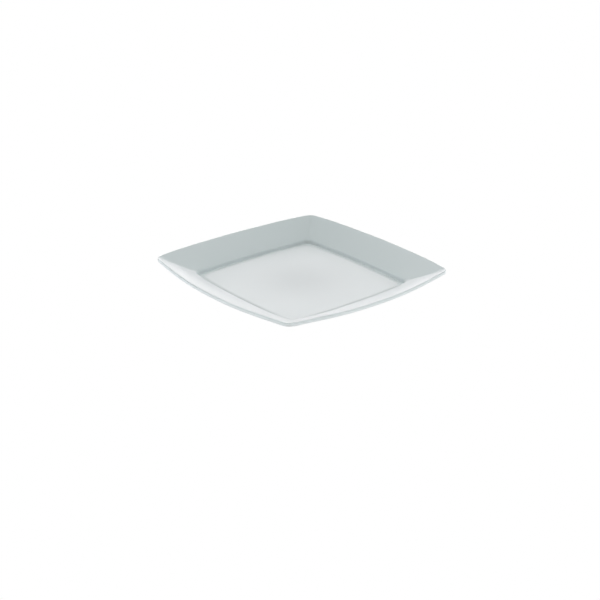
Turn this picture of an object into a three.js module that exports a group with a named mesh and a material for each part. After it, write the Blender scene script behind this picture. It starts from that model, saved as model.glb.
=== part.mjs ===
// Square dessert plate, moulded in one piece of glossy white plastic.
// A flat square well lies inside a low steep step. Round it a broad rim rises to a rounded edge.
// The sides bow outwards and the corners lift. Below, the plate stands on a square foot ring.
// Millimetres and degrees, +Z up. The origin is the plate's middle, on the surface that it stands on.

import * as THREE from 'three';

// Rim
const rimAcross = 180; // from the middle of one outer side to the middle of the opposite one
const rimSideRadius = 365; // bow of an outer side, seen from above
const rimCornerRadius = 7.5; // outer corner, seen from above
const creaseRadius = 2; // crease on the diagonal, where two slopes of the rim meet
const creaseOpening = 17; // last stretch of the slope, where the crease opens out into the outer corner
const creaseClosing = 2; // first stretch of the slope, where the well's corner closes to the crease
const rimHeight = 13.5; // top of the edge above the well floor, at the middle of a side
const cornerLift = 1.3; // how much higher the edge is at a corner
const rimEdgeAngle = 20; // slope of the rim where it reaches the edge
const rimWall = 2.75; // thickness of the rim, square to its slope
const edgeRound = 0.85; // rounding of the edge, above and below

// Well
const wellAcross = 124.4; // from the middle of one side of the floor to the middle of the opposite one
const wellSideRadius = 550; // bow of a side of the floor, seen from above
const wellCornerRadius = 6.5; // corner of the floor, seen from above
const floorWall = 2.4; // thickness of the floor
const stepHeight = 2.75; // step from the floor up to the rim, at the middle of a side
const stepLift = 1.2; // how much higher the step is at a corner of the well
const stepDraft = 4; // lean of the step's wall from upright
const stepRound = 1.1; // rounding along the top of the step
const stepFillet = 0.5; // hollow rounding along the foot of the step

// Underside
const footInset = 3.9; // from the edge of the floor in to the outside of the foot ring
const footWidth = 3; // width of the foot ring where it stands
const footHeight = 1.6; // drop of the foot ring below the floor's underside
const footDraft = 0.3; // widening of the foot ring on each side, up to the floor's underside
const footRound = 0.4; // rounding of the foot ring's lower edges
const gateAcross = 8; // round recess where the plastic entered the mould
const gateDepth = 0.6; // depth of that recess
const stubAcross = 2.4; // trimmed stub left in the recess
const stubHeight = 0.3; // height of the stub

// How the curves run and how finely they are divided
const liftSharpness = 4; // how closely the lift of the edge is gathered at the corners
const stepLiftSharpness = 20; // how closely the lift of the step is gathered at the corners
const creaseEase = 2; // how gently the corners close to the crease and open out of it
const fullestRound = 0.45; // most that a rounding may take of the wall that it is on
const sideSteps = 14; // along each bowed side
const cornerSteps = 8; // round each corner
const rimSteps = 9; // up the slope of the rim
const edgeSteps = 5; // round each rounding of the edge
const stepSteps = 4; // round the top and the foot of the step
const shoulderSteps = 5; // round the shoulder under the step
const footSteps = 2; // round each lower edge of the foot ring

const sides = 4;
const quarterTurn = Math.PI / 2;
const halfTurn = Math.PI;

// Values worked out from the sizes
const rimHalf = rimAcross / 2;
const wellHalf = wellAcross / 2;
const footHalf = wellHalf - footInset;
const panelHeight = footHeight;
const floorHeight = panelHeight + floorWall;
const edgeAngle = THREE.MathUtils.degToRad(rimEdgeAngle);
const draft = THREE.MathUtils.degToRad(stepDraft);
const edgeRadius = Math.min(edgeRound, fullestRound * rimWall);
const stepRadius = Math.min(stepRound, fullestRound * stepHeight);
const filletRadius = Math.min(stepFillet, fullestRound * stepHeight);
const footRadius = Math.min(footRound, fullestRound * footWidth, fullestRound * footHeight);
const slopeHalf = wellHalf + stepHeight * Math.tan(draft) + stepRadius;

// A profile point: half the distance across the plate at the middle of a side, and a height.
const at = (half, height) => new THREE.Vector2(half, height);

// A step of the profile, of a given length, in a given direction.
const along = (angle, length) => at(Math.cos(angle), Math.sin(angle)).multiplyScalar(length);

// Points round an arc of the profile, from one angle to another.
function arc(centre, radius, from, to, steps) {
  return new THREE.EllipseCurve(centre.x, centre.y, radius, radius, from, to, to < from).getPoints(steps);
}

// Points along a bent stretch of the profile, which leaves and arrives in line with its control point.
function bend(from, control, to, steps) {
  return new THREE.QuadraticBezierCurve(from, control, to).getPoints(steps);
}

// The control point halfway along a stretch that arrives at a given slope.
function controlBefore(from, to, slope) {
  const half = (from.x + to.x) / 2;
  return at(half, to.y - Math.tan(slope) * (to.x - half));
}

// Foot ring, from the floor's underside inside it to the underside outside it.
function footProfile() {
  const inner = footHalf - footWidth;
  const innerCentre = at(inner + footRadius, footRadius);
  const outerCentre = at(footHalf - footRadius, footRadius);
  return [
    at(inner - footDraft, panelHeight),
    ...arc(innerCentre, footRadius, halfTurn, halfTurn + quarterTurn, footSteps),
    ...arc(outerCentre, footRadius, -quarterTurn, 0, footSteps),
    at(footHalf + footDraft, panelHeight),
  ];
}

// Rim and step: up the underside from the foot ring, round the edge, then down the slope and the step.
function rimProfile() {
  // The two roundings of the edge, and where the rim's slope and underside leave them
  const upperCentre = at(rimHalf - edgeRadius, floorHeight + rimHeight - edgeRadius);
  const edgeFlat = (rimWall - 2 * edgeRadius) / Math.cos(edgeAngle);
  const lowerCentre = at(upperCentre.x, upperCentre.y - edgeFlat);
  const slopeTop = upperCentre.clone().add(along(quarterTurn + edgeAngle, edgeRadius));
  const undersideTop = lowerCentre.clone().add(along(edgeAngle - quarterTurn, edgeRadius));

  // The step's top before it is rounded, and the slope that leaves it
  const stepTop = at(wellHalf + stepHeight * Math.tan(draft), floorHeight + stepHeight);
  const slopeControl = controlBefore(stepTop, slopeTop, edgeAngle);
  const startAngle = Math.atan2(slopeControl.y - stepTop.y, slopeControl.x - stepTop.x);

  // Rounding along the step's top, between its wall and the slope
  const tangent = stepRadius * Math.tan((quarterTurn - draft - startAngle) / 2);
  const slopeFoot = stepTop.clone().add(along(startAngle, tangent));
  const stepCentre = slopeFoot.clone().add(along(startAngle - quarterTurn, stepRadius));

  // Hollow rounding where the step's wall meets the floor
  const filletReach = filletRadius * Math.tan((quarterTurn - draft) / 2);
  const filletCentre = at(wellHalf - filletReach, floorHeight + filletRadius);

  // Underside: it keeps the rim's thickness, then turns down round a shoulder to the foot ring
  const shoulderHalf = wellHalf + rimWall;
  const slopeRise = Math.tan(startAngle) * (shoulderHalf - stepTop.x);
  const shoulderTop = at(shoulderHalf, stepTop.y + slopeRise - rimWall / Math.cos(startAngle));
  const shoulderControl = at(shoulderHalf, panelHeight);
  const shoulderFoot = at(footHalf + footDraft, panelHeight);
  const undersideControl = controlBefore(shoulderTop, undersideTop, edgeAngle);

  return [
    ...bend(shoulderFoot, shoulderControl, shoulderTop, shoulderSteps).slice(1),
    ...bend(shoulderTop, undersideControl, undersideTop, rimSteps).slice(1),
    ...arc(lowerCentre, edgeRadius, edgeAngle - quarterTurn, 0, edgeSteps).slice(1),
    ...arc(upperCentre, edgeRadius, 0, quarterTurn + edgeAngle, edgeSteps),
    ...bend(slopeTop, slopeControl, slopeFoot, rimSteps).slice(1),
    ...arc(stepCentre, stepRadius, quarterTurn + startAngle, halfTurn - draft, stepSteps).slice(1),
    ...arc(filletCentre, filletRadius, -draft, -quarterTurn, stepSteps),
  ];
}

// The corner's radius: round at the well and at the edge, and drawn in to a crease between them.
function cornerRadiusAt(half) {
  const nearWell = THREE.MathUtils.clamp(1 - (half - slopeHalf) / creaseClosing, 0, 1);
  const nearEdge = THREE.MathUtils.clamp(1 - (rimHalf - half) / creaseOpening, 0, 1);
  const wellShare = (wellCornerRadius - creaseRadius) * nearWell ** creaseEase;
  const edgeShare = (rimCornerRadius - creaseRadius) * nearEdge ** creaseEase;
  return creaseRadius + wellShare + edgeShare;
}

// A closed line round the plate through one profile point: four bowed sides joined by four corner arcs.
// The bow changes evenly from the floor's outline to the rim's. The edge's lift grows with it up the slope,
// and the step's own lift fades from the step's top to the edge.
function outline({ x: half, y: height }) {
  const reach = Math.max(0, (half - wellHalf) / (rimHalf - wellHalf));
  const sideRadius = THREE.MathUtils.lerp(wellSideRadius, rimSideRadius, reach);
  const cornerRadius = cornerRadiusAt(half);
  const stepShare = THREE.MathUtils.clamp((half - wellHalf) / (slopeHalf - wellHalf), 0, 1);
  const edgeRise = cornerLift * reach;
  const stepRise = stepLift * stepShare * (1 - reach);

  // The corner's centre is on the diagonal, where its arc touches both sides
  const sideCentre = half - sideRadius;
  const between = sideRadius - cornerRadius;
  const cornerCentre = (sideCentre + Math.sqrt(2 * between ** 2 - sideCentre ** 2)) / 2;
  const sideTurn = Math.atan2(cornerCentre, cornerCentre - sideCentre);
  const cornerTurn = quarterTurn - 2 * sideTurn;

  const quarter = [];
  for (let step = 0; step < sideSteps; step += 1) {
    const angle = sideTurn * ((2 * step) / sideSteps - 1);
    quarter.push(along(angle, sideRadius).add(at(sideCentre, 0)));
  }
  for (let step = 0; step < cornerSteps; step += 1) {
    const angle = sideTurn + (cornerTurn * step) / cornerSteps;
    quarter.push(along(angle, cornerRadius).addScalar(cornerCentre));
  }

  const middle = at(0, 0);
  const points = [];
  for (let side = 0; side < sides; side += 1) {
    for (const point of quarter) {
      const { x, y } = point.clone().rotateAround(middle, side * quarterTurn);
      const nearDiagonal = (2 * x * y) / (x ** 2 + y ** 2);
      const lift = edgeRise * nearDiagonal ** liftSharpness + stepRise * nearDiagonal ** stepLiftSharpness;
      points.push(new THREE.Vector3(x, y, height + lift));
    }
  }
  return points;
}

// A round line about the plate's middle, with its points on the same spokes as the foot ring's.
function circle(across, height) {
  return outline(at(footHalf, height)).map(({ x, y }) => {
    const scale = across / 2 / Math.hypot(x, y);
    return new THREE.Vector3(x * scale, y * scale, height);
  });
}

// The closed skin through a run of lines, from a first point to a last point in the plate's middle.
function loft(first, lines, last) {
  const count = lines[0].length;
  const vertices = [first, ...lines.flat(), last];
  const lastIndex = vertices.length - 1;
  const lastLine = lastIndex - count;
  const faces = [];
  for (let place = 0; place < count; place += 1) {
    const next = (place + 1) % count;
    faces.push(0, 1 + next, 1 + place);
    for (let here = 1; here < lastLine; here += count) {
      const beyond = here + count;
      faces.push(here + place, here + next, beyond + place);
      faces.push(here + next, beyond + next, beyond + place);
    }
    faces.push(lastLine + place, lastLine + next, lastIndex);
  }
  const geometry = new THREE.BufferGeometry().setFromPoints(vertices);
  geometry.setIndex(faces);
  geometry.computeVertexNormals();
  return geometry;
}

// The plate's skin starts at the stub in the middle of the underside and ends in the middle of the floor.
const gateCeiling = panelHeight + gateDepth;
const stubEnd = gateCeiling - stubHeight;
const lines = [
  circle(stubAcross, stubEnd),
  circle(stubAcross, gateCeiling),
  circle(gateAcross, gateCeiling),
  circle(gateAcross, panelHeight),
  ...footProfile().map(outline),
  ...rimProfile().map(outline),
];
const undersideMiddle = new THREE.Vector3(0, 0, stubEnd);
const floorMiddle = new THREE.Vector3(0, 0, floorHeight);

const glossyWhite = new THREE.MeshStandardMaterial({ color: 0xe4e9e9, roughness: 0.3, metalness: 0 });
const plate = new THREE.Mesh(loft(undersideMiddle, lines, floorMiddle), glossyWhite);
plate.name = 'plate';

const object = new THREE.Group();
object.add(plate);

export default object;
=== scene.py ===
import math

import bpy
from mathutils import Matrix, Vector


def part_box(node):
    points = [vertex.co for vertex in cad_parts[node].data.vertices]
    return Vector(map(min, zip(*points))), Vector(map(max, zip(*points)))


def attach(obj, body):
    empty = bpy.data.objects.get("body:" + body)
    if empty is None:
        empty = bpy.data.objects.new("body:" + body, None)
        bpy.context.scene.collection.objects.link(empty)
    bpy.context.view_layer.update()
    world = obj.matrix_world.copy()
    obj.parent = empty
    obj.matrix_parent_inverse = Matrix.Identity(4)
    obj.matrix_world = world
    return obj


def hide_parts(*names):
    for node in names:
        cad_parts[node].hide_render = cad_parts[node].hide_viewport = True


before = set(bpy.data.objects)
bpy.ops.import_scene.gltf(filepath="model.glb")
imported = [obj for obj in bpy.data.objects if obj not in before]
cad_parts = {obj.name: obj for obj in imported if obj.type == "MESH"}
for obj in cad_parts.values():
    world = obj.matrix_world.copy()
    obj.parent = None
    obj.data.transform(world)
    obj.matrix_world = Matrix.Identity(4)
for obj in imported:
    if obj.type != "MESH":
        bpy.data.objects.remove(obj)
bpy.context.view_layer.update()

MM = 0.001
QUARTER_TURN = math.pi / 2
HALF_TURN = math.pi
SIDES = 4

# Rim of the plate
RIM_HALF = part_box("plate")[1].x        # half the plate, at the middle of a side
RIM_SIDE_RADIUS = 365 * MM             # bow of an outer side, seen from above
RIM_CORNER_RADIUS = 7.5 * MM           # outer corner, seen from above
CREASE_RADIUS = 2 * MM                 # crease on the diagonal, where two slopes of the rim meet
CREASE_OPENING = 17 * MM               # last stretch of the slope, where the crease opens into the corner
CREASE_CLOSING = 2 * MM                # first stretch of the slope, where the well's corner closes to it
CREASE_EASE = 2                        # how gently the corners close to the crease and open out of it
RIM_HEIGHT = 13.5 * MM                 # top of the edge above the foot of the step, at the middle of a side
CORNER_LIFT = 1.3 * MM                 # how much higher the edge is at a corner
LIFT_SHARPNESS = 4                     # how closely the lift is gathered at the corners, an even power
RIM_EDGE_ANGLE = math.radians(20)      # slope of the rim where it reaches the edge
RIM_WALL = 2.75 * MM                   # thickness of the rim, square to its slope
EDGE_ROUND = 0.85 * MM                 # rounding of the edge, above and below
PARTING_HEIGHT = 0.24 * MM             # parting line of the mould round the edge: its height
PARTING_DEPTH = 0.03 * MM              # and how far it stands out of the edge's face

# Well of the plate
WELL_HALF = 62.2 * MM                  # half the floor, at the middle of a side
WELL_SIDE_RADIUS = 550 * MM            # bow of a side of the floor
WELL_CORNER_RADIUS = 6.5 * MM          # corner of the floor
FLOOR_WALL = 2.4 * MM                  # thickness of the floor at the foot of the step
STEP_HEIGHT = 2.75 * MM                # step from its foot up to the rim, at the middle of a side
STEP_LIFT = 1.2 * MM                   # how much higher the step is at a corner of the well
STEP_LIFT_SHARPNESS = 20               # how closely that lift is gathered at the corners, an even power
STEP_DRAFT = math.radians(4)           # lean of the step's wall
STEP_ROUND = 1.1 * MM                  # rounding along the top of the step
STEP_FILLET = 0.5 * MM                 # hollow rounding along the foot of the step
BANK_WIDTH = 4.8 * MM                  # soft bank round the floor, from the step's foot inwards
BANK_HEIGHT = 0.9 * MM                 # rise of the floor over that bank

# Underside of the plate
FOOT_INSET = 3.9 * MM                  # from the edge of the floor in to the outside of the foot ring
FOOT_WIDTH = 3 * MM                    # width of the foot ring where it stands
FOOT_HEIGHT = 1.6 * MM                 # drop of the foot ring below the floor's underside
FOOT_DRAFT = 0.3 * MM                  # widening of the foot ring on each side
FOOT_ROUND = 0.4 * MM                  # rounding of the foot ring's lower edges
FOOT_FILLET = 0.35 * MM                # hollow rounding where the foot ring meets the floor's underside
GATE_RADIUS = 4 * MM                   # round recess where the plastic entered the mould
GATE_DEPTH = 0.6 * MM                  # depth of that recess
GATE_ROUND = 0.2 * MM                  # rounding of the recess's edges
STUB_RADIUS = 1.2 * MM                 # trimmed stub left in the recess
STUB_HEIGHT = 0.3 * MM                 # height of the stub
STUB_ROUND = 0.1 * MM                  # rounding of the stub's end

# How finely the skin is divided
SIDE_STEPS = 48
CORNER_STEPS = 24
RIM_STEPS = 32
EDGE_STEPS = 10
STEP_STEPS = 10
SHOULDER_STEPS = 14
FOOT_STEPS = 6
FLOOR_STEPS = 8
BANK_STEPS = 10

# Heights and halves that follow from the sizes
PANEL_HEIGHT = FOOT_HEIGHT
FLOOR_HEIGHT = PANEL_HEIGHT + FLOOR_WALL
FOOT_HALF = WELL_HALF - FOOT_INSET
SLOPE_HALF = WELL_HALF + STEP_HEIGHT * math.tan(STEP_DRAFT) + STEP_ROUND

# Satin white plastic
CLOUD_SCALE = 45                       # faint clouds in the colour, as many to a metre
CLOUD_DETAIL = 3
CLOUD_BAND = (0.3, 0.7)                # stretch of the noise over which the colour changes
CLOUD_COLOURS = ((0.772, 0.779, 0.78, 1), (0.778, 0.785, 0.786, 1))
# painted shade: the colour of a soft darker patch round the plate's middle
PAINTED_SHADE_COLOUR = (0.65, 0.663, 0.665, 1)
PAINTED_SHADE_SPREAD = 24 * MM                 # how far the painted shade reaches out from the plate's middle
SMEAR_SCALE = 35                       # unevenness of the sheen, as many smears to a metre
SMEAR_DETAIL = 2
ROUGHNESS = (0.33, 0.37)               # least and most
PLASTIC_IOR = 1.49
PLASTIC_SPECULAR = 0.25
PEEL_SCALE = 700                       # faint orange peel of a moulded surface, as many dimples to a metre
PEEL_DETAIL = 2
PEEL_STRENGTH = 0.004
PEEL_DEPTH = 0.05 * MM

# Camera of the photograph, about the plate's middle at the height of the step's foot
CAMERA_AZIMUTH = math.radians(49.268)
CAMERA_ELEVATION = math.radians(22.706)
CAMERA_ROLL = math.radians(0.848)
CAMERA_DISTANCE = 983 * MM
CAMERA_AIM = Vector((28.397, -24.686, 0)) * MM
CAMERA_SENSOR = 36                     # sensor width that the lens is given for, in millimetres
CAMERA_LENS = 74.972                   # focal length, in millimetres

# Soft lights: colours, elevations, and turns round the plate from the camera, with a half turn behind it
LIGHT_GATHERING = 24                   # how closely each soft light is gathered about its direction
BACKDROP_LOW = (2.7, 2.55, 2.65)       # middle of the white backdrop behind the plate, near the ground
BACKDROP_WINGS = (3.4, 3.2, 3.25)      # its left and right parts
BACKDROP_LOW_ELEVATION = math.radians(4)
WING_TURN = math.radians(30)           # from the backdrop's middle to the left and to the right
BACKDROP_HIGH = (2.6, 2.4, 2.42)       # its middle, further up
BACKDROP_HIGH_ELEVATION = math.radians(23)
SIDE_BOX = (3.3, 3.85, 4)              # cool soft boxes low to the left and the right
SIDE_ELEVATION = math.radians(8)
SIDE_TURN = math.radians(90)
FRONT_BOX = (1.78, 2.02, 2)            # soft boxes high in front, to the left and the right
FRONT_ELEVATION = math.radians(62)
FRONT_TURN = math.radians(60)
TOP_BOX = (3.25, 3.5, 3.5)             # soft box above, a little in front
TOP_ELEVATION = math.radians(72)

# Ground and background
WHITE = (1, 1, 1, 1)                   # the ground's glow, and what the camera sees round the plate
GROUND_HALF = 4                        # half a side of the ground, in metres
GROUND_COLOUR = (0.6, 0.6, 0.6, 1)
SHADE_HALVES = (86 * MM, 112 * MM)     # half the square of shade under the plate: where it fades, and its end
GROUND_GLOWS = (0.2, 0.9)              # strength of the ground's glow in that shade, and round the plate

# Places of a Mix node's colour sockets
MIX_FIRST_COLOUR = 6
MIX_SECOND_COLOUR = 7
MIX_RESULT_COLOUR = 2


def at(half, height):
    """A profile point: half the distance across the plate at the middle of a side, and a height."""
    return Vector((half, height))


def along(angle, length):
    """A step of the profile, of a given length, in a given direction."""
    return at(math.cos(angle), math.sin(angle)) * length


def arc(centre, radius, start, end, steps):
    """Points round an arc of the profile, from one angle to another."""
    turn = (end - start) / steps
    return [centre + along(start + turn * step, radius) for step in range(steps + 1)]


def bend(start, control, end, steps):
    """Points along a bent stretch, which leaves and arrives in line with its control point."""
    points = []
    for step in range(steps + 1):
        share = step / steps
        first = start.lerp(control, share)
        second = control.lerp(end, share)
        points.append(first.lerp(second, share))
    return points


def control_before(start, end, slope):
    """The control point halfway along a stretch that arrives at a given slope."""
    half = (start.x + end.x) / 2
    return at(half, end.y - math.tan(slope) * (end.x - half))


def foot_profile():
    """Foot ring, from the floor's underside inside it to the underside outside it."""
    inner = FOOT_HALF - FOOT_WIDTH
    inner_fillet = at(inner - FOOT_DRAFT - FOOT_FILLET, PANEL_HEIGHT - FOOT_FILLET)
    inner_centre = at(inner + FOOT_ROUND, FOOT_ROUND)
    outer_centre = at(FOOT_HALF - FOOT_ROUND, FOOT_ROUND)
    return [
        *arc(inner_fillet, FOOT_FILLET, QUARTER_TURN, 0, FOOT_STEPS),
        *arc(inner_centre, FOOT_ROUND, HALF_TURN, HALF_TURN + QUARTER_TURN, FOOT_STEPS),
        *arc(outer_centre, FOOT_ROUND, -QUARTER_TURN, 0, FOOT_STEPS),
        at(FOOT_HALF + FOOT_DRAFT, PANEL_HEIGHT),
    ]


def rim_profile():
    """Rim and step: up the underside from the foot ring, round the edge, down the slope and the step."""
    upper_centre = at(RIM_HALF - EDGE_ROUND, FLOOR_HEIGHT + RIM_HEIGHT - EDGE_ROUND)
    edge_flat = (RIM_WALL - 2 * EDGE_ROUND) / math.cos(RIM_EDGE_ANGLE)
    lower_centre = upper_centre - at(0, edge_flat)
    slope_top = upper_centre + along(QUARTER_TURN + RIM_EDGE_ANGLE, EDGE_ROUND)
    underside_top = lower_centre + along(RIM_EDGE_ANGLE - QUARTER_TURN, EDGE_ROUND)

    # Parting line, in the middle of the edge's face
    parting = at(RIM_HALF, (upper_centre.y + lower_centre.y) / 2)
    parting_line = [
        parting - at(0, PARTING_HEIGHT / 2),
        parting + at(PARTING_DEPTH, 0),
        parting + at(0, PARTING_HEIGHT / 2),
    ]

    # The step's top before it is rounded, and the slope that leaves it
    step_top = at(WELL_HALF + STEP_HEIGHT * math.tan(STEP_DRAFT), FLOOR_HEIGHT + STEP_HEIGHT)
    slope_control = control_before(step_top, slope_top, RIM_EDGE_ANGLE)
    leaving = slope_control - step_top
    start_angle = math.atan2(leaving.y, leaving.x)

    # Rounding along the step's top, and the hollow rounding at its foot
    tangent = STEP_ROUND * math.tan((QUARTER_TURN - STEP_DRAFT - start_angle) / 2)
    slope_foot = step_top + along(start_angle, tangent)
    step_centre = slope_foot + along(start_angle - QUARTER_TURN, STEP_ROUND)
    fillet_reach = STEP_FILLET * math.tan((QUARTER_TURN - STEP_DRAFT) / 2)
    fillet_centre = at(WELL_HALF - fillet_reach, FLOOR_HEIGHT + STEP_FILLET)

    # Underside: it keeps the rim's thickness, then turns down round a shoulder to the foot ring
    shoulder_half = WELL_HALF + RIM_WALL
    slope_rise = math.tan(start_angle) * (shoulder_half - step_top.x)
    shoulder_top = at(shoulder_half, step_top.y + slope_rise - RIM_WALL / math.cos(start_angle))
    shoulder_control = at(shoulder_half, PANEL_HEIGHT)
    shoulder_foot = at(FOOT_HALF + FOOT_DRAFT, PANEL_HEIGHT)
    underside_control = control_before(shoulder_top, underside_top, RIM_EDGE_ANGLE)

    return [
        *bend(shoulder_foot, shoulder_control, shoulder_top, SHOULDER_STEPS)[1:],
        *bend(shoulder_top, underside_control, underside_top, RIM_STEPS)[1:],
        *arc(lower_centre, EDGE_ROUND, RIM_EDGE_ANGLE - QUARTER_TURN, 0, EDGE_STEPS)[1:],
        *parting_line,
        *arc(upper_centre, EDGE_ROUND, 0, QUARTER_TURN + RIM_EDGE_ANGLE, EDGE_STEPS),
        *bend(slope_top, slope_control, slope_foot, RIM_STEPS)[1:],
        *arc(step_centre, STEP_ROUND, QUARTER_TURN + start_angle, HALF_TURN - STEP_DRAFT, STEP_STEPS)[1:],
        *arc(fillet_centre, STEP_FILLET, -STEP_DRAFT, -QUARTER_TURN, STEP_STEPS),
    ]


def gate_profile():
    """Stub and recess in the middle of the underside, from the stub's end out to the underside."""
    ceiling = PANEL_HEIGHT + GATE_DEPTH
    stub_end = ceiling - STUB_HEIGHT
    stub_centre = at(STUB_RADIUS - STUB_ROUND, stub_end + STUB_ROUND)
    inner_centre = at(GATE_RADIUS - GATE_ROUND, ceiling - GATE_ROUND)
    outer_centre = at(GATE_RADIUS + GATE_ROUND, PANEL_HEIGHT + GATE_ROUND)
    return [
        *arc(stub_centre, STUB_ROUND, -QUARTER_TURN, 0, FOOT_STEPS),
        at(STUB_RADIUS, ceiling),
        *arc(inner_centre, GATE_ROUND, QUARTER_TURN, 0, FOOT_STEPS),
        *arc(outer_centre, GATE_ROUND, HALF_TURN, HALF_TURN + QUARTER_TURN, FOOT_STEPS),
    ]


def corner_radius_at(half):
    """The corner's radius: round at the well and at the edge, and drawn in to a crease between them."""
    near_well = min(max(1 - (half - SLOPE_HALF) / CREASE_CLOSING, 0), 1)
    near_edge = min(max(1 - (RIM_HALF - half) / CREASE_OPENING, 0), 1)
    well_share = (WELL_CORNER_RADIUS - CREASE_RADIUS) * near_well ** CREASE_EASE
    edge_share = (RIM_CORNER_RADIUS - CREASE_RADIUS) * near_edge ** CREASE_EASE
    return CREASE_RADIUS + well_share + edge_share


def outline(point):
    """A closed line round the plate through one profile point: bowed sides joined by corner arcs."""
    reach = max(0, (point.x - WELL_HALF) / (RIM_HALF - WELL_HALF))
    side_radius = WELL_SIDE_RADIUS + (RIM_SIDE_RADIUS - WELL_SIDE_RADIUS) * reach
    corner_radius = corner_radius_at(point.x)
    step_share = min(max((point.x - WELL_HALF) / (SLOPE_HALF - WELL_HALF), 0), 1)
    edge_rise = CORNER_LIFT * reach
    step_rise = STEP_LIFT * step_share * (1 - reach)

    # The corner's centre is on the diagonal, where its arc touches both sides
    side_centre = point.x - side_radius
    between = side_radius - corner_radius
    corner_centre = (side_centre + math.sqrt(2 * between ** 2 - side_centre ** 2)) / 2
    side_turn = math.atan2(corner_centre, corner_centre - side_centre)
    corner_turn = QUARTER_TURN - 2 * side_turn

    side_middle = at(side_centre, 0)
    corner_middle = at(corner_centre, corner_centre)
    quarter = arc(side_middle, side_radius, -side_turn, side_turn, SIDE_STEPS)[:-1]
    quarter += arc(corner_middle, corner_radius, side_turn, side_turn + corner_turn, CORNER_STEPS)[:-1]

    points = []
    for side in range(SIDES):
        turn = Matrix.Rotation(side * QUARTER_TURN, 2)
        for spot in quarter:
            x, y = turn @ spot
            near_diagonal = 2 * x * y / (x ** 2 + y ** 2)
            edge_lift = edge_rise * near_diagonal ** LIFT_SHARPNESS
            step_lift = step_rise * near_diagonal ** STEP_LIFT_SHARPNESS
            points.append(Vector((x, y, point.y + edge_lift + step_lift)))
    return points


def circle(point):
    """A round line about the plate's middle, with its points on the same spokes as the foot ring's."""
    spokes = [Vector((spot.x, spot.y, 0)).normalized() for spot in outline(at(FOOT_HALF, 0))]
    return [spoke * point.x + Vector((0, 0, point.y)) for spoke in spokes]


def between_lines(first, last, steps):
    """Lines evenly spaced between two lines, without the two themselves."""
    shares = [step / steps for step in range(1, steps)]
    return [[start.lerp(end, share) for start, end in zip(first, last)] for share in shares]


def drawn_in(line, share, rise):
    """A line drawn in towards the plate's middle and lifted."""
    return [Vector((spot.x * share, spot.y * share, spot.z + rise)) for spot in line]


def floor_lines(border):
    """Lines over the floor, from its border up the soft bank and on over the flat middle."""
    bank_share = BANK_WIDTH / WELL_HALF
    lines = []
    for step in range(1, BANK_STEPS + 1):
        share = step / BANK_STEPS
        rise = BANK_HEIGHT * (1 - math.cos(HALF_TURN * share)) / 2
        lines.append(drawn_in(border, 1 - bank_share * share, rise))
    for step in range(1, FLOOR_STEPS):
        share = (1 - bank_share) * (1 - step / FLOOR_STEPS)
        lines.append(drawn_in(border, share, BANK_HEIGHT))
    return lines


def closed_skin(name, lines):
    """A smooth closed mesh through a run of closed lines, with a fan at its first and last line."""
    count = len(lines[0])
    spots = [spot for line in lines for spot in line]
    first_middle = sum(lines[0], Vector((0, 0, 0))) / count
    last_middle = sum(lines[-1], Vector((0, 0, 0))) / count
    first_index = len(spots)
    last_index = first_index + 1
    last_line = first_index - count
    faces = []
    for place in range(count):
        following = (place + 1) % count
        faces.append((first_index, following, place))
        for here in range(0, last_line, count):
            beyond = here + count
            faces.append((here + place, here + following, beyond + following, beyond + place))
        faces.append((last_line + place, last_line + following, last_index))
    mesh = bpy.data.meshes.new(name)
    mesh.from_pydata([*spots, first_middle, last_middle], [], faces)
    mesh.shade_smooth()
    piece = bpy.data.objects.new(name, mesh)
    bpy.context.collection.objects.link(piece)
    return piece


def plate_body():
    """The whole plate, from the stub under its middle round to the middle of the well floor."""
    gate_lines = [circle(point) for point in gate_profile()]
    foot_lines = [outline(point) for point in foot_profile()]
    rim_lines = [outline(point) for point in rim_profile()]
    lines = [
        *gate_lines,
        *between_lines(gate_lines[-1], foot_lines[0], FLOOR_STEPS),
        *foot_lines,
        *rim_lines,
        *floor_lines(rim_lines[-1]),
    ]
    piece = closed_skin("plate_body", lines)
    piece.modifiers.new("flat_faces_stay_flat", "WEIGHTED_NORMAL")
    return piece


def worked_out(tree, kind, operation, operands):
    """A math node of a given kind, whose operands are sockets to link or constants to set."""
    node = tree.nodes.new(kind)
    node.operation = operation
    for socket, operand in zip(node.inputs, operands):
        if isinstance(operand, bpy.types.NodeSocket):
            tree.links.new(operand, socket)
        else:
            socket.default_value = operand
    return node


def number(tree, operation, *operands):
    """A socket with a number worked out from one or two numbers."""
    return worked_out(tree, "ShaderNodeMath", operation, operands).outputs["Value"]


def dot_product(tree, first, second):
    """A socket with the dot product of two vectors."""
    return worked_out(tree, "ShaderNodeVectorMath", "DOT_PRODUCT", (first, second)).outputs["Value"]


def vector(tree, operation, *operands):
    """A socket with a vector worked out from one or two vectors."""
    return worked_out(tree, "ShaderNodeVectorMath", operation, operands).outputs["Vector"]


def noise(tree, place, scale, detail):
    """A socket with cloudy noise."""
    node = tree.nodes.new("ShaderNodeTexNoise")
    node.inputs["Scale"].default_value = scale
    node.inputs["Detail"].default_value = detail
    tree.links.new(place, node.inputs["Vector"])
    return node.outputs["Fac"]


def ranged(tree, value, first, second):
    """A socket with a value carried over from one range to another, and held at the other's ends."""
    node = tree.nodes.new("ShaderNodeMapRange")
    names = ("From Min", "From Max", "To Min", "To Max")
    for name, end in zip(names, (*first, *second)):
        node.inputs[name].default_value = end
    tree.links.new(value, node.inputs["Value"])
    return node.outputs["Result"]


def mixed(tree, factor, first, second):
    """A socket with a colour that goes over from a linked one to a set one."""
    node = tree.nodes.new("ShaderNodeMix")
    node.data_type = "RGBA"
    tree.links.new(factor, node.inputs["Factor"])
    tree.links.new(first, node.inputs[MIX_FIRST_COLOUR])
    node.inputs[MIX_SECOND_COLOUR].default_value = second
    return node.outputs[MIX_RESULT_COLOUR]


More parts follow.
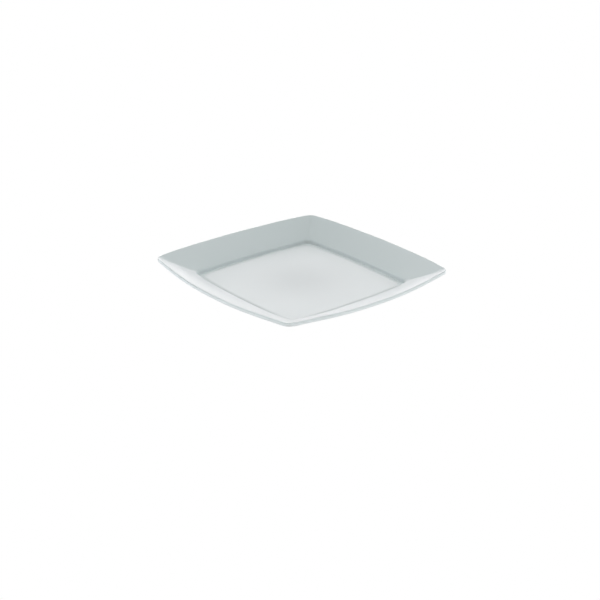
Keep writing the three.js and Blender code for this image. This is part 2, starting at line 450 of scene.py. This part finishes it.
def satin_white_plastic():
    """Satin white plastic: faintly cool, with painted shade in a soft darker patch round the middle and a
    trace of unevenness.
    """
    material = bpy.data.materials.new("satin_white_plastic")
    material.use_nodes = True
    tree = material.node_tree
    nodes = tree.nodes
    links = tree.links
    shader = nodes["Principled BSDF"]
    place = nodes.new("ShaderNodeTexCoord").outputs["Object"]

    # Cloudy unevenness of the colour, about two centimetres wide
    tint = nodes.new("ShaderNodeValToRGB")
    for element, position, colour in zip(tint.color_ramp.elements, CLOUD_BAND, CLOUD_COLOURS):
        element.position = position
        element.color = colour
    links.new(noise(tree, place, CLOUD_SCALE, CLOUD_DETAIL), tint.inputs["Fac"])

    # Painted shade: a soft darker patch round the middle of the floor
    flat = vector(tree, "MULTIPLY", place, (1, 1, 0))
    falling = number(tree, "MULTIPLY", dot_product(tree, flat, flat), -1 / (2 * PAINTED_SHADE_SPREAD ** 2))
    painted_shade_bell = number(tree, "EXPONENT", falling)
    links.new(mixed(tree, painted_shade_bell, tint.outputs["Color"], PAINTED_SHADE_COLOUR), shader.inputs["Base Color"])

    # Sheen, a little uneven from handling
    smears = noise(tree, place, SMEAR_SCALE, SMEAR_DETAIL)
    links.new(ranged(tree, smears, (0, 1), ROUGHNESS), shader.inputs["Roughness"])
    shader.inputs["IOR"].default_value = PLASTIC_IOR
    shader.inputs["Specular IOR Level"].default_value = PLASTIC_SPECULAR

    # Faint orange peel
    bump = nodes.new("ShaderNodeBump")
    bump.inputs["Strength"].default_value = PEEL_STRENGTH
    bump.inputs["Distance"].default_value = PEEL_DEPTH
    links.new(noise(tree, place, PEEL_SCALE, PEEL_DETAIL), bump.inputs["Height"])
    links.new(bump.outputs["Normal"], shader.inputs["Normal"])
    return material


def white_ground():
    """Dull white that glows round the plate, is shaded under it and is pure white to the camera."""
    material = bpy.data.materials.new("white_ground")
    material.use_nodes = True
    tree = material.node_tree
    nodes = tree.nodes
    links = tree.links
    shader = nodes["Principled BSDF"]
    shader.inputs["Base Color"].default_value = GROUND_COLOUR
    shader.inputs["Roughness"].default_value = 1
    shader.inputs["Specular IOR Level"].default_value = 0
    shader.inputs["Emission Color"].default_value = WHITE

    # The shade is square, as the plate is
    place = nodes.new("ShaderNodeTexCoord").outputs["Object"]
    apart = nodes.new("ShaderNodeSeparateXYZ")
    links.new(vector(tree, "ABSOLUTE", place), apart.inputs["Vector"])
    half = number(tree, "MAXIMUM", apart.outputs["X"], apart.outputs["Y"])
    links.new(ranged(tree, half, SHADE_HALVES, GROUND_GLOWS), shader.inputs["Emission Strength"])

    # The camera sees plain white, and the plate sees the glow and the shade
    white = nodes.new("ShaderNodeEmission")
    white.inputs["Color"].default_value = WHITE
    ray = nodes.new("ShaderNodeLightPath")
    seen = nodes.new("ShaderNodeMixShader")
    to_which, to_plate, to_camera = seen.inputs
    links.new(ray.outputs["Is Camera Ray"], to_which)
    links.new(shader.outputs["BSDF"], to_plate)
    links.new(white.outputs["Emission"], to_camera)
    links.new(seen.outputs["Shader"], nodes["Material Output"].inputs["Surface"])
    return material


def ground():
    """Plain flat ground that the plate stands on."""
    mesh = bpy.data.meshes.new("ground")
    corners = [(-1, -1, 0), (1, -1, 0), (1, 1, 0), (-1, 1, 0)]
    mesh.from_pydata([Vector(corner) * GROUND_HALF for corner in corners], [], [(0, 1, 2, 3)])
    mesh.materials.append(white_ground())
    floor = bpy.data.objects.new("ground", mesh)
    bpy.context.collection.objects.link(floor)


def towards(azimuth, elevation):
    """The direction from the plate towards a place at an azimuth and an elevation."""
    level = math.cos(elevation)
    return Vector((math.sin(azimuth) * level, -math.cos(azimuth) * level, math.sin(elevation)))


def soft_light(tree, turn, elevation, colour):
    """A socket with a soft light on the dome, at a turn from the camera and an elevation."""
    place = tree.nodes.new("ShaderNodeTexCoord").outputs["Generated"]
    facing = dot_product(tree, place, towards(CAMERA_AZIMUTH + turn, elevation))
    gathered = number(tree, "POWER", number(tree, "MAXIMUM", facing, 0), LIGHT_GATHERING)
    coloured = worked_out(tree, "ShaderNodeVectorMath", "SCALE", [colour])
    tree.links.new(gathered, coloured.inputs["Scale"])
    return coloured.outputs["Vector"]


def studio_light():
    """A white backdrop, soft boxes at the sides, high in front and above, and a white background."""
    world = bpy.data.worlds.new("soft_studio")
    world.use_nodes = True
    bpy.context.scene.world = world
    tree = world.node_tree
    lights = [
        soft_light(tree, HALF_TURN, BACKDROP_LOW_ELEVATION, BACKDROP_LOW),
        soft_light(tree, HALF_TURN - WING_TURN, BACKDROP_LOW_ELEVATION, BACKDROP_WINGS),
        soft_light(tree, HALF_TURN + WING_TURN, BACKDROP_LOW_ELEVATION, BACKDROP_WINGS),
        soft_light(tree, HALF_TURN, BACKDROP_HIGH_ELEVATION, BACKDROP_HIGH),
        soft_light(tree, SIDE_TURN, SIDE_ELEVATION, SIDE_BOX),
        soft_light(tree, -SIDE_TURN, SIDE_ELEVATION, SIDE_BOX),
        soft_light(tree, FRONT_TURN, FRONT_ELEVATION, FRONT_BOX),
        soft_light(tree, -FRONT_TURN, FRONT_ELEVATION, FRONT_BOX),
        soft_light(tree, 0, TOP_ELEVATION, TOP_BOX),
    ]
    total = lights[0]
    for light in lights[1:]:
        total = vector(tree, "ADD", total, light)
    ray = tree.nodes.new("ShaderNodeLightPath")
    seen = mixed(tree, ray.outputs["Is Camera Ray"], total, WHITE)
    tree.links.new(seen, tree.nodes["Background"].inputs["Color"])


def photo_camera():
    """The camera at the photograph's viewing angle."""
    data = bpy.data.cameras.new("camera")
    data.sensor_width = CAMERA_SENSOR
    data.lens = CAMERA_LENS
    camera = bpy.data.objects.new("camera", data)
    bpy.context.collection.objects.link(camera)
    place = towards(CAMERA_AZIMUTH, CAMERA_ELEVATION) * CAMERA_DISTANCE
    back = (place - CAMERA_AIM).normalized()
    right = Vector((0, 0, 1)).cross(back).normalized()
    up = back.cross(right)
    rolled_right = right * math.cos(CAMERA_ROLL) + up * math.sin(CAMERA_ROLL)
    rolled_up = up * math.cos(CAMERA_ROLL) - right * math.sin(CAMERA_ROLL)
    turn = Matrix((rolled_right, rolled_up, back)).transposed().to_4x4()
    camera.matrix_world = Matrix.Translation(place + Vector((0, 0, FLOOR_HEIGHT))) @ turn
    bpy.context.scene.camera = camera


plate = plate_body()
plate.data.materials.append(satin_white_plastic())
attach(plate, "root")
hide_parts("plate")

ground()
studio_light()
photo_camera()
bpy.context.scene.view_settings.view_transform = "Standard"
